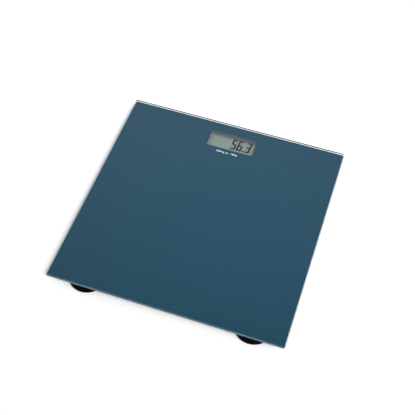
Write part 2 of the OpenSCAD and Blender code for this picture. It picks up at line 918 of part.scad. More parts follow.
// Stamped plate: an outer frame, and a tongue that is cut free on three sides
module load_cell(foot) {
    inside = cell_side / 2 - cell_frame;
    tongue = inside - cell_slot;
    root = cell_side / 4;
    color(steel)
        at_foot(foot) {
            translate([0, 0, plate_z])
                linear_extrude(cell_plate_t)
                    difference() {
                        rounded(cell_side, cell_side, plate_r);
                        difference() {
                            translate([-inside, -inside])
                                square([inside + root, 2 * inside]);
                            translate([-tongue, -tongue])
                                square([tongue + root + 1, 2 * tongue]);
                        }
                        // Waist of the tongue under the gauge
                        for (s = [-1, 1])
                            translate([root - 2.5, s * tongue])
                                circle(1.5);
                        for (x = [-1, 1], y = [-1, 1])
                            translate([x, y] * (cell_side / 2 - 3))
                                circle(1);
                    }
            translate([0, 0, plate_z - dimple_h])
                cylinder(h = dimple_h, d = dimple_d);
        }
}

module strain_gauge(foot) {
    color(silicone)
        at_foot(foot)
            translate([gauge_x, 0, plate_top])
                edged_plate(gauge_w, gauge_d, gauge_h, 2, 0, 0.4);
}

// Cup that snaps over the carrier's skirt and presses on the load cell's tongue
module foot_cup(foot) {
    lip_r = skirt_r + run_gap;
    recess = pad_t - pad_stand;
    rib_drop = 0.4;
    pusher_r = 4;
    color(black)
        at_foot(foot) {
            rotate_extrude()
                polygon(concat(
                    [
                        [0, pad_stand + recess],
                        [pad_d / 2 + pad_gap, pad_stand + recess],
                        [pad_d / 2 + pad_gap, pad_stand]
                    ],
                    arc([foot_r - cup_edge, pad_stand + cup_edge], cup_edge, -90, 0),
                    [[foot_r, cup_top - 0.4], [foot_r - 0.4, cup_top], [lip_r + 0.5, cup_top],
                        [lip_r, cup_top - 0.5], [lip_r, snap_z], [cup_in_r, snap_z],
                        [cup_in_r, cup_in_z], [0, cup_in_z]]
                ));
            translate([0, 0, cup_in_z - eps])
                cylinder(h = rib_top - cup_in_z, r = pusher_r);
            translate([0, 0, rib_top - 1])
                cylinder(h = pusher_top - rib_top + 1, r = pusher_r - 1.2);
            for (a = [15:60:315])
                rotate([0, 0, a])
                    translate([pusher_r - 1, -rib_t / 2, cup_in_z - eps])
                        cube([cup_in_r - pusher_r + 1.5, rib_t, rib_top - rib_drop - cup_in_z]);
        }
}

// Rubber pad with three grip grooves in its face
module foot_pad(foot) {
    r = pad_d / 2;
    edge_r = 0.6;
    groove_w = 1.2;
    groove_h = 0.6;
    rim = arc([r - edge_r, edge_r], edge_r, -90, 0, 3);
    color(dark)
        at_foot(foot)
            rotate_extrude()
                difference() {
                    polygon(concat([[0, 0]], rim, [[r, pad_t], [0, pad_t]]));
                    for (i = [1:3])
                        translate([i * r / 4 - groove_w / 2, -1])
                            square([groove_w, groove_h + 1]);
                }
}

// Three wires side by side: up from the gauge, level to the housing, down to the board
module cell_lead(foot) {
    reach = norm(wire_run(foot));
    gauge_top = plate_top + gauge_h;
    level = wire_z - wire_bend;
    color(wire_red)
        at_foot(foot)
            for (i = [-1:1])
                translate([0, i * wire_pitch, 0]) {
                    translate([gauge_x, 0, gauge_top])
                        cylinder(h = level - gauge_top, d = wire_d, $fn = small_fn);
                    translate([gauge_x + wire_bend, 0, level])
                        rotate([90, 0, 180])
                            rotate_extrude(angle = 90)
                                translate([wire_bend, 0])
                                    circle(d = wire_d, $fn = small_fn);
                    translate([gauge_x + wire_bend, 0, wire_z])
                        rotate([0, 90, 0])
                            cylinder(h = reach - gauge_x - 2 * wire_bend, d = wire_d, $fn = small_fn);
                    translate([reach - wire_bend, 0, level])
                        rotate([90, 0, 0])
                            rotate_extrude(angle = 90)
                                translate([wire_bend, 0])
                                    circle(d = wire_d, $fn = small_fn);
                    translate([reach, 0, board_top])
                        cylinder(h = level - board_top, d = wire_d, $fn = small_fn);
                }
}

// Channel stuck under the glass, cut to the round of the foot and to the housing's wall
module lead_cover(foot) {
    half = channel_w / 2;
    inner = half - channel_wall;
    brim = half + channel_flange;
    edge = 0.8;
    color(black)
        difference() {
            at_foot(foot)
                translate([foot_r - 2, 0, 0])
                    rotate([90, 0, 90])
                        linear_extrude(wall_reach(foot) - foot_r + 8)
                            polygon([
                                [-brim, coat_z], [-brim, coat_z - channel_flange_t],
                                [-half, coat_z - channel_flange_t], [-half, channel_z + edge],
                                [edge - half, channel_z], [half - edge, channel_z],
                                [half, channel_z + edge], [half, coat_z - channel_flange_t],
                                [brim, coat_z - channel_flange_t], [brim, coat_z],
                                [inner, coat_z], [inner, channel_z + channel_wall],
                                [-inner, channel_z + channel_wall], [-inner, coat_z]
                            ]);
            at_foot(foot)
                cylinder(h = under_h + 1, r = foot_r + fit);
            at_housing()
                linear_extrude(under_h + 1)
                    rounded(housing_w + 2 * fit, housing_d + 2 * fit, housing_r + fit);
        }
}

glass_platform();
colour_coat();
housing_tape();
housing_tray();
housing_cover();
housing_screws();
lcd_front_glass();
lcd_rear_glass();
lcd_reflector();
zebra_strip();
lcd_foam_strip();
circuit_board();
board_screws();
chip_seal();
board_parts();
unit_switch();
unit_switch_stem();
unit_button();
coin_cell();
battery_contact_plus();
battery_contact_minus();
battery_door();
for (foot = FEET) {
    foot_tape(foot);
    foot_carrier(foot);
    load_cell(foot);
    strain_gauge(foot);
    foot_cup(foot);
    foot_pad(foot);
    cell_lead(foot);
    lead_cover(foot);
}
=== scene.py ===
import math

import bpy
import numpy as np
from mathutils import Matrix, Vector


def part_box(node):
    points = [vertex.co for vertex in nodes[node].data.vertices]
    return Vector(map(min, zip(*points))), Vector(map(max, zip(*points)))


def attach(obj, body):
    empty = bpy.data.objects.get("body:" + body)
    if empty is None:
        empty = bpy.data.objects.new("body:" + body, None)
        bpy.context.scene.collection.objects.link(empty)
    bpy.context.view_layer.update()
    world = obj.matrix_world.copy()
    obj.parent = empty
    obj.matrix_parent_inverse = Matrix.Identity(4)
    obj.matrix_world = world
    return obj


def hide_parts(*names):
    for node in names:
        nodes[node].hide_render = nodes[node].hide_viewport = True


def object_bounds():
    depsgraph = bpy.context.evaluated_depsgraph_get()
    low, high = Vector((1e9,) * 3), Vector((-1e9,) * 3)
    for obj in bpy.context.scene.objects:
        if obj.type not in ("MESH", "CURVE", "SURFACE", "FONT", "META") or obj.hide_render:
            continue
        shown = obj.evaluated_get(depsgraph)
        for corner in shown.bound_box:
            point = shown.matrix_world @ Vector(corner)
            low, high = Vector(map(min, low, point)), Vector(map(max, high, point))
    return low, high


# A bathroom scale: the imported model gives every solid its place. This script gives the solids their
# looks, and adds the glass sheet, the figures, the printed line and the silicone on the gauges.
# Lengths in the dictionaries are millimetres unless a note says otherwise. Colours are what the eye
# sees on screen, 0 to 255 for red, green and blue.

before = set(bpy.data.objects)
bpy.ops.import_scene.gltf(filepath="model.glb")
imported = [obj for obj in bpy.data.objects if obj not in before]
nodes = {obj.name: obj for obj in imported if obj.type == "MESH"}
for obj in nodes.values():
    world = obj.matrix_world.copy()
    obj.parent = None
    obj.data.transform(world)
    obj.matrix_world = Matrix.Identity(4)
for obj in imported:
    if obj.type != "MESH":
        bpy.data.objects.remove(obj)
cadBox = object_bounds()
mm = 0.001
corners = ("front_left", "front_right", "back_left", "back_right")
print("frame loaded:", len(nodes), "nodes")


def shown(red, green, blue):
    # screen colour to the linear colour that shaders work in, by the usual power curve
    part = np.array([red, green, blue]) / 255
    linear = np.where(part <= 0.04045, part / 12.92, ((part + 0.055) / 1.055) ** 2.4)
    return (*linear.tolist(), 1.0)


def shaded(colour, share):                       # a linear colour made darker or lighter
    return (*[part * share for part in colour[:3]], 1.0)


def boxOf(node):
    low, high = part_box(node)
    return np.array(low) / mm, np.array(high) / mm


# Shader maths

class Reading:                                   # one output of a node, to be added, multiplied and so on
    def __init__(self, graph, socket):
        self.graph = graph
        self.socket = socket

    def worked(self, operation, *values):
        return self.graph.add("Math", {"operation": operation}, dict(enumerate(values)))

    def __add__(self, other):
        return self.worked("ADD", self, other)

    __radd__ = __add__

    def __sub__(self, other):
        return self.worked("SUBTRACT", self, other)

    def __rsub__(self, other):
        return self.worked("SUBTRACT", other, self)

    def __mul__(self, other):
        return self.worked("MULTIPLY", self, other)

    __rmul__ = __mul__

    def __truediv__(self, other):
        return self.worked("DIVIDE", self, other)

    def __abs__(self):
        return self.worked("ABSOLUTE", self)

    def over(self, limit):                       # 1 where the value is above the limit, else 0
        return self.worked("GREATER_THAN", self, limit)

    def most(self, other):
        return self.worked("MAXIMUM", self, other)

    def rest(self, step):                        # what is left over after whole steps
        return self.worked("FLOORED_MODULO", self, step)

    def share(self, start, end, way="LINEAR"):   # 0 before start, 1 after end, even between
        values = {"Value": self, "From Min": start, "From Max": end}
        return self.graph.add("MapRange", {"interpolation_type": way}, values)

    def ramp(self, start, end):                  # the same with soft ends
        return self.share(start, end, "SMOOTHSTEP")


class Graph:                                     # nodes that are being wired
    def __init__(self, tree):
        self.tree = tree

    def add(self, kind, settings, values, result=0):
        node = self.tree.nodes.new("ShaderNode" + kind)
        for name, value in settings.items():
            setattr(node, name, value)
        for name, value in values.items():
            self.feed(node.inputs[name], value)
        return Reading(self, node.outputs[result])

    def feed(self, socket, value):
        if isinstance(value, Reading):
            self.tree.links.new(value.socket, socket)
        else:
            socket.default_value = value

    def along(self, at, axis):
        return self.add("SeparateXYZ", {}, {0: at}, axis)

    def ray(self, *kinds):                       # 1 for light that travels in one of these ways
        shares = [self.add("LightPath", {}, {}, f"Is {kind} Ray") for kind in kinds]
        whole = shares[0]
        for share in shares[1:]:
            whole = whole.most(share)
        return whole


class Finish(Graph):                             # a material while it is being mixed
    def __init__(self, name, **plain):
        self.material = bpy.data.materials.new(name)
        self.material.use_nodes = True
        super().__init__(self.material.node_tree)
        self.skin = self.tree.nodes["Principled BSDF"]
        self.wear(**plain)

    def wear(self, **worn):                      # values or readings for the shader's own sockets
        for socket, value in worn.items():
            self.feed(self.skin.inputs[socket.replace("_", " ")], value)
        return self.material

    def place(self, turn=0, centre=(0, 0, 0)):   # where a point lies, in millimetres, turned about a centre
        at = self.add("TexCoord", {}, {}, "Object")
        moved = self.add("VectorMath", {"operation": "SUBTRACT"}, {0: at, 1: [c * mm for c in centre]})
        turned = self.add("VectorRotate", {"rotation_type": "Z_AXIS"}, {"Vector": moved, "Angle": turn})
        return self.add("VectorMath", {"operation": "SCALE"}, {0: turned, "Scale": 1 / mm})

    def stretched(self, at, factors):
        return self.add("VectorMath", {"operation": "MULTIPLY"}, {0: at, 1: factors})

    def facing(self, axis):                      # how far the surface faces along X, Y or Z
        return self.along(self.add("TexCoord", {}, {}, "Normal"), axis)

    def noise(self, at, size, detail=3, roughness=0.5):
        values = {"Vector": at, "Scale": 1 / size, "Detail": detail, "Roughness": roughness}
        return self.add("TexNoise", {}, values)

    def cells(self, at, size):                   # how far a point lies from the nearest scattered one
        return self.add("TexVoronoi", {}, {"Vector": at, "Scale": 1 / size})

    def patches(self, at, size):                 # a chance value for each patch with straight edges
        values = {"Vector": at, "Scale": 1 / size}
        return self.along(self.add("TexVoronoi", {"distance": "MANHATTAN"}, values, "Color"), "X")

    def between(self, share, first, second):     # a mix of two colours
        return self.add("Mix", {"data_type": "RGBA"}, {0: share, 6: first, 7: second}, 2)

    def mottled(self, share, colour, contrast):  # a screen colour times two factors, mixed by the share
        return self.between(share, *(shaded(shown(*colour), factor) for factor in contrast))

    def relief(self, height, depth):             # a bump whose full height is the depth, in millimetres
        return self.add("Bump", {}, {"Height": height, "Distance": depth * mm, "Strength": 1.0})


# Finishes

soils = {"rub": (120, 120, 122), "dust": (150, 148, 142), "soot": (60, 60, 62), "grime": (90, 88, 86)}


def mouldedPlastic(name, look, paintedWellLight=None):
    # spark-eroded plastic: a fine grain, duller and shinier clouds, and a trace of grey rub; the painted
    # well light is a box, as its middle and half its size in X and Y and its floor, and whatever is in it
    # is painted paler, as light falling into the display's well
    made = Finish(name, Specular_IOR_Level=look["shine"])
    at = made.place()
    grain = made.noise(at, look["grain"], detail=2, roughness=0.6)
    cloud = made.noise(at, look["cloud"])
    rub = made.noise(at, look["cloud"] * 0.3, detail=5, roughness=0.7).ramp(0.55, 0.8)
    tone = made.mottled(cloud, look["colour"], (0.75, 1.3))
    tone = made.between(rub * look["rub"], tone, shown(*soils["rub"]))
    # painted light: the walls of the display's well made paler, as light falling into it
    if paintedWellLight:
        middle, half, floor = paintedWellLight
        away = [abs(made.along(at, axis) - c) / h for axis, c, h in zip("XY", middle, half)]
        outside = away[0].most(away[1]).over(1).most(1 - made.along(at, "Z").over(floor))
        tone = made.between(outside, shown(*look["paintedWellLight"]), tone)
    rough = look["roughness"] + 0.12 * (cloud - 0.5) + 0.1 * (grain - 0.5)
    return made.wear(Base_Color=tone, Roughness=rough, Normal=made.relief(grain, look["depth"]))


def clearGlass(name, look):
    # clear float glass that lets lamplight through, its tint wandering a little, pitted where ground
    made = Finish(name, IOR=1.5, Transmission_Weight=1.0, Roughness=look["roughness"])
    at = made.place()
    tint = made.mottled(made.noise(at, look["cloud"], detail=2), look["tint"], (1, 0.97))
    made.wear(Base_Color=tint)
    if "pit" in look:
        made.wear(Normal=made.relief(made.noise(at, look["pit"], roughness=0.6), look["depth"]))
    through = made.add("BsdfTransparent", {}, {"Color": tint})
    skin = Reading(made, made.skin.outputs[0])
    mixed = made.add("MixShader", {}, {0: made.ray("Shadow", "Diffuse"), 1: skin, 2: through})
    made.feed(made.tree.nodes["Material Output"].inputs["Surface"], mixed)
    return made.material


def printedInk(name, look):
    # ink under the glass: faint clouds, a fine screen mesh, and a duller, darker back
    made = Finish(name, Specular_IOR_Level=0.0)
    at = made.place()
    mesh = made.noise(at, look["grain"], detail=2)
    share = made.noise(at, look["cloud"]) * 0.7 + mesh * 0.3
    under = (made.facing("Z") * -1).over(0.5)
    front = made.mottled(share, look["colour"], (0.95, 1.05))
    back = made.mottled(share, look["back"], (0.85, 1.15))
    tone = made.between(under, front, back)
    height = made.relief(mesh * under, look["depth"])
    return made.wear(Base_Color=tone, Roughness=0.45 + 0.25 * mesh, Normal=height)


def displayFace(name, look):
    # grey-green display: painted shade at the back and left, as the well's walls shade it, a painted light
    # strip at the right, faint sparkle
    made = Finish(name, Coat_Weight=0.5, Coat_Roughness=0.05, Specular_IOR_Level=0.3)
    at = made.place()
    x, y = made.along(at, "X"), made.along(at, "Y")
    sparkle = made.noise(at, look["sparkle"], detail=2)
    share = made.noise(at, look["cloud"], detail=2) * 0.6 + sparkle * 0.4
    tone = made.between(share, shown(*look["darker"]), shown(*look["lighter"]))
    # painted light: the right strip of the display made paler, as light falling on it
    tone = made.between(x.ramp(*look["paintedLightFrom"]), tone, shown(*look["paintedLight"]))
    # painted shade: the back and left of the display darkened, as the shadow of the well's walls
    paintedShade = y.ramp(*look["shadeBack"]).most(0.5 * (1 - x.ramp(*look["shadeLeft"])))
    tone = made.between(paintedShade, tone, shown(*look["paintedShade"]))
    return made.wear(Base_Color=tone, Roughness=0.35 + 0.15 * sparkle)


def flatInk(name, look):
    # a thin even ink with a fine grain
    made = Finish(name, Specular_IOR_Level=look["shine"])
    grain = made.noise(made.place(), look["grain"], detail=2)
    tone = made.mottled(grain, look["colour"], (0.9, 1.1))
    return made.wear(Base_Color=tone, Roughness=look["roughness"] + 0.1 * grain)


rolling = {"stretch": (0.08, 1, 1), "line": 0.12, "cloud": 3.5, "depth": 0.004}


def rolledMetal(name, look):
    # rolled or drawn metal: fine lines along X, and soft clouds
    made = Finish(name, Metallic=1.0)
    at = made.place()
    lines = made.noise(made.stretched(at, rolling["stretch"]), rolling["line"], roughness=0.6)
    cloud = made.noise(at, rolling["cloud"])
    tone = made.mottled(cloud * 0.5 + lines * 0.5, look["colour"], (0.8, 1.1))
    rough = look["roughness"] + 0.18 * (lines - 0.5) + 0.15 * (cloud - 0.5)
    return made.wear(Base_Color=tone, Roughness=rough, Normal=made.relief(lines, rolling["depth"]))


def softRubber(name, look):
    # matt rubber or foam: pores from cells, and a dusty bloom
    made = Finish(name, Specular_IOR_Level=look["shine"])
    at = made.place()
    pores = made.cells(at, look["pore"])
    bloom = made.noise(at, look["bloom"], detail=5, roughness=0.65).ramp(0.45, 0.8)
    tone = made.mottled(pores.ramp(0.0, 0.9), look["colour"], (0.6, 1.2))
    tone = made.between(bloom * look["dust"], tone, shown(*soils["dust"]))
    height = made.relief(pores, look["depth"])
    return made.wear(Base_Color=tone, Roughness=0.75 + 0.2 * pores, Normal=height)


def circuitBoard(name, look):
    # green resist over bundles of copper tracks that change their way from patch to patch, with some
    # patches all copper, and round tinned pads
    made = Finish(name, Specular_IOR_Level=0.5)
    at = made.place()
    chance = made.patches(at, look["patch"])
    pitch = look["pitch"]
    lengthwise, crosswise = (
        1 - abs(made.along(at, axis).rest(pitch) / pitch - 0.5).ramp(0.2, 0.25) for axis in "YX")
    way = chance.over(0.5)
    copper = (way * lengthwise + (1 - way) * crosswise).most(chance.over(look["filled"]))
    pads = 1 - made.cells(at, look["padStep"]).ramp(0.13, 0.16)
    tone = made.mottled(made.noise(at, look["cloud"]), look["resist"], (0.85, 1.1))
    tone = made.between(copper, tone, shown(*look["track"]))
    tone = made.between(pads, tone, shown(*look["pad"]))
    height = made.relief(copper * 0.5 + pads * 0.5, look["depth"])
    return made.wear(Base_Color=tone, Metallic=pads, Roughness=0.42 - 0.12 * pads, Normal=height)


def stripedRubber(name, look):
    # elastomer connector: thin black carbon layers between pale silicone ones, all along its length
    made = Finish(name, Specular_IOR_Level=0.3)
    at = made.place()
    stripe = (made.along(at, "X").rest(look["step"]) / look["step"]).ramp(0.42, 0.58)
    cloud = made.noise(at, look["cloud"])
    tone = made.between(stripe, shown(*look["carbon"]), shown(*look["silicone"]))
    tone = made.between(cloud * 0.2, tone, shown(*soils["soot"]))
    height = made.relief(stripe, look["depth"])
    return made.wear(Base_Color=tone, Roughness=0.55 + 0.2 * cloud, Normal=height)


def wireSkin(name, look, foot, turn):
    # red, white and black insulation, told apart by how far a wire lies to the side of the run
    made = Finish(name, Specular_IOR_Level=0.5)
    at = made.place(-turn, (*foot, 0))
    side = made.along(at, "Y")
    cloud = made.noise(at, look["cloud"])
    tone = made.between(side.over(-0.5 * look["pitch"]), shown(*look["first"]), shown(*look["second"]))
    tone = made.between(side.over(0.5 * look["pitch"]), tone, shown(*look["third"]))
    tone = made.between(cloud * 0.25, tone, shown(*soils["grime"]))
    height = made.relief(cloud, look["depth"])
    return made.wear(Base_Color=tone, Roughness=0.35 + 0.2 * cloud, Normal=height)


curing = {"lump": 1.6, "bubble": 0.9, "depth": 0.06}


def wetSilicone(name, look):
    # cured silicone or epoxy: smooth with soft lumps, and a few small bubbles
    made = Finish(name, Coat_Weight=0.3, Coat_Roughness=0.2)
    at = made.place()
    lumps = made.noise(at, curing["lump"], detail=2)
    bubbles = 1 - made.cells(at, curing["bubble"]).ramp(0.06, 0.12)
    tone = made.mottled(lumps, look["colour"], (0.88, 1.06))
    height = made.relief(lumps - 0.3 * bubbles, curing["depth"])
    return made.wear(Base_Color=tone, Roughness=look["roughness"] + 0.15 * lumps, Normal=height)


looks = {
    "housing": {
        "colour": (44, 45, 49), "grain": 0.35, "cloud": 25, "rub": 0.05, "roughness": 0.5,
        # the last colour is painted light, for the walls of the display's well
        "depth": 0.02, "shine": 0.4, "paintedWellLight": (92, 100, 112),
    },
    "foot": {
        "colour": (4, 4, 5), "grain": 0.4, "cloud": 12, "rub": 0.004, "roughness": 0.6,
        "depth": 0.02, "shine": 0.007,
    },
    "button": {
        "colour": (48, 49, 53), "grain": 0.25, "cloud": 8, "rub": 0.08, "roughness": 0.42,
        "depth": 0.01, "shine": 0.45,
    },
    "sheet": {"tint": (250, 254, 254), "roughness": 0.0, "cloud": 60},
    "groundEdge": {"tint": (250, 254, 255), "roughness": 0.08, "cloud": 60, "pit": 0.35, "depth": 0.02},
    "coat": {"colour": (37, 73, 93), "back": (52, 66, 76), "grain": 0.5, "cloud": 90, "depth": 0.02},
    "display": {
        # the right strip's colour and where it starts are painted light; the dark colour for the back and
        # left and its two ramps are painted shade from the well's walls
        "darker": (126, 137, 131), "lighter": (137, 149, 142), "paintedLight": (152, 169, 174),
        "paintedShade": (92, 92, 99), "shadeBack": (128.5, 135.0), "shadeLeft": (-32.5, -25.5),
        "paintedLightFrom": (28.0, 29.5), "sparkle": 0.25, "cloud": 22,
    },
    "figures": {"colour": (2, 8, 6), "grain": 0.3, "roughness": 0.6, "shine": 0.0},
    "ghosts": {"colour": (120, 132, 125), "grain": 0.3, "roughness": 0.4, "shine": 0.3},
    "print": {"colour": (228, 238, 250), "grain": 0.3, "roughness": 0.5, "shine": 0.0},
    "steel": {"colour": (188, 190, 194), "roughness": 0.34},
    "nickel": {"colour": (204, 200, 190), "roughness": 0.24},
    "foil": {"colour": (205, 208, 206), "roughness": 0.45},
    "pad": {"colour": (13, 13, 13), "pore": 0.45, "bloom": 5, "dust": 0.025, "depth": 0.05, "shine": 0.08},
    "foam": {"colour": (48, 48, 50), "pore": 0.6, "bloom": 5, "dust": 0.1, "depth": 0.12, "shine": 0.2},
    "board": {
        "resist": (16, 84, 46), "track": (34, 120, 66), "pad": (206, 202, 190), "patch": 7,
        "pitch": 0.9, "filled": 0.82, "padStep": 4.2, "cloud": 7, "depth": 0.03,
    },
    "zebra": {
        "carbon": (22, 22, 24), "silicone": (196, 176, 168), "step": 0.4, "cloud": 2, "depth": 0.01,
    },
    "wires": {
        "first": (176, 26, 24), "second": (226, 224, 218), "third": (26, 26, 28), "pitch": 1.4,
        "cloud": 4, "depth": 0.02,
    },
    "gaugeSeal": {"colour": (232, 232, 226), "roughness": 0.3},
    "chipSeal": {"colour": (20, 20, 22), "roughness": 0.22},
    "ceramic": {"colour": (176, 150, 112)},      # the rest as the housing
}
# the box where the housing's walls are painted paler, as light in the display's well
paintedWellBox = {"margin": 1.5}                      # from the display's edge to the walls round the view


def dress(material, *names):
    for name in names:
        for slot in nodes[name].material_slots:
            slot.material = material


lcdLow, lcdHigh = boxOf("lcd_front_glass")
# painted light: the box over the display whose walls are painted paler
paintedWellLight = ((lcdLow + lcdHigh)[:2] / 2, (lcdHigh - lcdLow)[:2] / 2 - paintedWellBox["margin"], lcdHigh[2])
housing = mouldedPlastic("housingPlastic", looks["housing"], paintedWellLight)
footPlastic = mouldedPlastic("footPlastic", looks["foot"])
buttonPlastic = mouldedPlastic("buttonPlastic", looks["button"])
steel = rolledMetal("platedSteel", looks["steel"])
nickel = rolledMetal("nickel", looks["nickel"])
padRubber = softRubber("padRubber", looks["pad"])
foam = softRubber("foamTape", looks["foam"])
gaugeSeal = wetSilicone("gaugeSilicone", looks["gaugeSeal"])
face = displayFace("displayFace", looks["display"])

dress(housing, "housing_tray", "housing_cover")
dress(buttonPlastic, "battery_door", "unit_button", "unit_switch_stem")
dress(printedInk("blueCoat", looks["coat"]), "colour_coat")
dress(steel, "housing_screws", "board_screws", "unit_switch")
dress(nickel, "coin_cell", "battery_contact_plus", "battery_contact_minus")
dress(face, "lcd_front_glass", "lcd_rear_glass")
dress(rolledMetal("foil", looks["foil"]), "lcd_reflector")
dress(foam, "housing_tape", "lcd_foam_strip")
dress(stripedRubber("zebraRubber", looks["zebra"]), "zebra_strip")
dress(circuitBoard("boardGreen", looks["board"]), "circuit_board")
dress(wetSilicone("chipEpoxy", looks["chipSeal"]), "chip_seal")
dress(mouldedPlastic("ceramic", {**looks["housing"], **looks["ceramic"]}), "board_parts")
for corner in corners:
    dress(footPlastic, f"foot_carrier_{corner}", f"foot_cup_{corner}", f"lead_cover_{corner}")
    dress(padRubber, f"foot_pad_{corner}")
    dress(foam, f"foot_tape_{corner}")
    dress(steel, f"load_cell_{corner}")
    dress(gaugeSeal, f"strain_gauge_{corner}")
print("solids dressed")


# New pieces

def build(name, points, faces, material, body="platform", sharp=35):
    mesh = bpy.data.meshes.new(name)
    mesh.from_pydata((np.asarray(points) * mm).tolist(), [], [list(map(int, f)) for f in faces])
    mesh.materials.append(material)
    mesh.shade_smooth()
    mesh.set_sharp_from_angle(angle=math.radians(sharp))
    mesh.update()
    piece = bpy.data.objects.new(name, mesh)
    bpy.context.scene.collection.objects.link(piece)
    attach(piece, body)
    return piece


def ringFaces(rings, count):
    # quads between each ring of points and the next, the last point of a ring joined to its first
    ring, spot = np.meshgrid(np.arange(rings - 1), np.arange(count), indexing="ij")
    after = (spot + 1) % count
    quads = np.stack([ring * count + spot, ring * count + after,
                      (ring + 1) * count + after, (ring + 1) * count + spot], axis=-1)
    return quads.reshape(-1, 4).tolist()


def capped(rings, count):
    # the same, with the first and last ring each closed by one face
    first = list(range(count))[::-1]
    last = list(range((rings - 1) * count, rings * count))
    return [first] + ringFaces(rings, count) + [last]


def roundedRings(low, high, radius, profile, steps=8):
    # rings round a rectangle with rounded corners: a ring's inset shrinks the corner's radius,
    # and the profile gives each ring's inset and height
    quarter = np.linspace(0, math.pi / 2, steps + 1)
    angle = np.concatenate([quarter + turn * math.pi / 2 for turn in range(4)])
    side = np.repeat([[1, 1], [-1, 1], [-1, -1], [1, -1]], steps + 1, axis=0)
    middle = (np.array(low[:2]) + np.array(high[:2])) / 2
    reach = (np.array(high[:2]) - np.array(low[:2])) / 2 - radius
    centre = middle + side * reach
    way = np.stack([np.cos(angle), np.sin(angle)], axis=1)
    rings = [np.column_stack([centre + way * (radius - inset), np.full(len(way), height)])
             for inset, height in profile]
    return np.concatenate(rings), len(way)


glassSheet = {"radius": 3, "arris": 0.4, "rounding": 0.08, "nick": 0.024, "soak": 0.01, "sharp": 20}


def makeGlass():
    # the slab's side as a profile of inset and height, each arris a short 45 degree cut with soft ends;
    # its underside soaks a hair into the coat, so that the ink lies on the glass with no air between
    low, high = boxOf("glass_platform")
    cut, soft, nick = (glassSheet[k] for k in ("arris", "rounding", "nick"))
    foot, top = low[2] - glassSheet["soak"], high[2]
    profile = [
        (cut + soft, foot), (cut - nick, foot + nick), (nick, foot + cut - nick), (0, foot + cut + soft),
        (0, top - cut - soft), (nick, top - cut + nick), (cut - nick, top - nick), (cut + soft, top),
    ]
    points, count = roundedRings(low, high, glassSheet["radius"], profile)
    faces = capped(len(profile), count)
    clear = clearGlass("clearGlass", looks["sheet"])
    piece = build("glassSheet", points, faces, clear, sharp=glassSheet["sharp"])
    piece.data.materials.append(clearGlass("groundEdge", looks["groundEdge"]))
    edge = np.ones(len(faces), dtype=np.int32)
    edge[[0, -1]] = 0                            # top and bottom are polished, the rest is ground
    piece.data.polygons.foreach_set("material_index", edge)
    piece.data.polygons.foreach_set("use_smooth", edge.astype(bool))   # both mirror as flat planes
    piece.data.update()
    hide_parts("glass_platform")


makeGlass()
print("glass made")


figures = {
    "text": "56.3", "left": (-1.4, 7.2, 18.5), "foot": 114.5, "height": 17.8, "width": 7.3,
    "stroke": 2.4, "gap": 0.08, "dot": 15.6, "slant": 5.5,    # the slant in degrees
    "sunk": 0.01, "proud": 0.03, "ghostProud": 0.01,
}
segments = {"0": "abcdef", "1": "bc", "2": "abged", "3": "abgcd", "4": "fgbc", "5": "afgcd",
            "6": "afgedc", "7": "abc", "8": "abcdefg", "9": "abcdfg"}


def segmentOutlines():
    # the seven bars of one figure, mitred at the corners and pointed at the waist: the upper left
    # upright, the top and the middle bar are drawn, and the other four mirror them
    wide, tall, thick, gap = (figures[k] for k in ("width", "height", "stroke", "gap"))
    half, waist = thick / 2, tall / 2
    upright = np.array([
        (0, tall - gap), (0, waist + gap), (half, waist + gap), (thick, waist + half + gap),
        (thick, tall - thick - gap),
    ])
    top = np.array([
        (gap, tall), (wide - gap, tall), (wide - thick - gap, tall - thick), (thick + gap, tall - thick),
    ])
    middle = np.array([
        (half + gap, waist), (thick + gap, waist + half), (wide - thick - gap, waist + half),
        (wide - half - gap, waist), (wide - thick - gap, waist - half), (thick + gap, waist - half),
    ])
    low = upright * [1, -1] + [0, tall]
    across = {"b": upright * [-1, 1] + [wide, 0], "c": low * [-1, 1] + [wide, 0]}
    return {"f": upright, "e": low, **across, "a": top, "d": top * [1, -1] + [0, tall], "g": middle}


def prisms(outlines, low, high):
    # each outline raised to a flat plate: its points at both heights, two faces and the sides; an
    # outline that runs clockwise, so that its signed area is negative, is turned round first
    points, faces = [], []
    for outline in outlines:
        count, start = len(outline), len(points)
        x, y = outline.T
        if np.sum(x * np.roll(y, -1) - np.roll(x, -1) * y) < 0:
            outline = outline[::-1]
        for height in (low, high):
            points += np.column_stack([outline, np.full(count, height)]).tolist()
        faces += [[start + i for i in face] for face in capped(2, count)]
    return points, faces


def makeFigures():
    # bars leaned over by the slant, each point moved right by its height times the slant's tangent
    surface = boxOf("lcd_front_glass")[1][2]
    outlines = segmentOutlines()
    lean = math.tan(math.radians(figures["slant"]))
    lit, ghost = [], []
    for digit, left in zip(figures["text"].replace(".", ""), figures["left"]):
        for name, outline in outlines.items():
            shape = outline + outline[:, 1:] * [lean, 0] + [left, figures["foot"]]
            (lit if name in segments[digit] else ghost).append(shape)
    side = figures["stroke"]
    dot = np.array([[0, 0], [side, 0], [side + lean * side, side], [lean * side, side]])
    lit.append(dot + [figures["dot"], figures["foot"]])
    foot = surface - figures["sunk"]
    points, faces = prisms(lit, foot, surface + figures["proud"])
    build("displayFigures", points, faces, flatInk("figureInk", looks["figures"]))
    points, faces = prisms(ghost, foot, surface + figures["ghostProud"])
    build("displayGhosts", points, faces, flatInk("ghostInk", looks["ghosts"]))


printedLine = {
    "groups": (("150 kg", -15.3, 10.7), ("d =", -2.4, 3.5), ("100 g", 5.4, 8.2)),    # text, left, width
    "foot": 99.8, "height": 3.1, "thick": 0.012, "above": 0.004,
    "bold": 0.035, "raise": 0.5,                 # in the font's own units, before the line is scaled
}


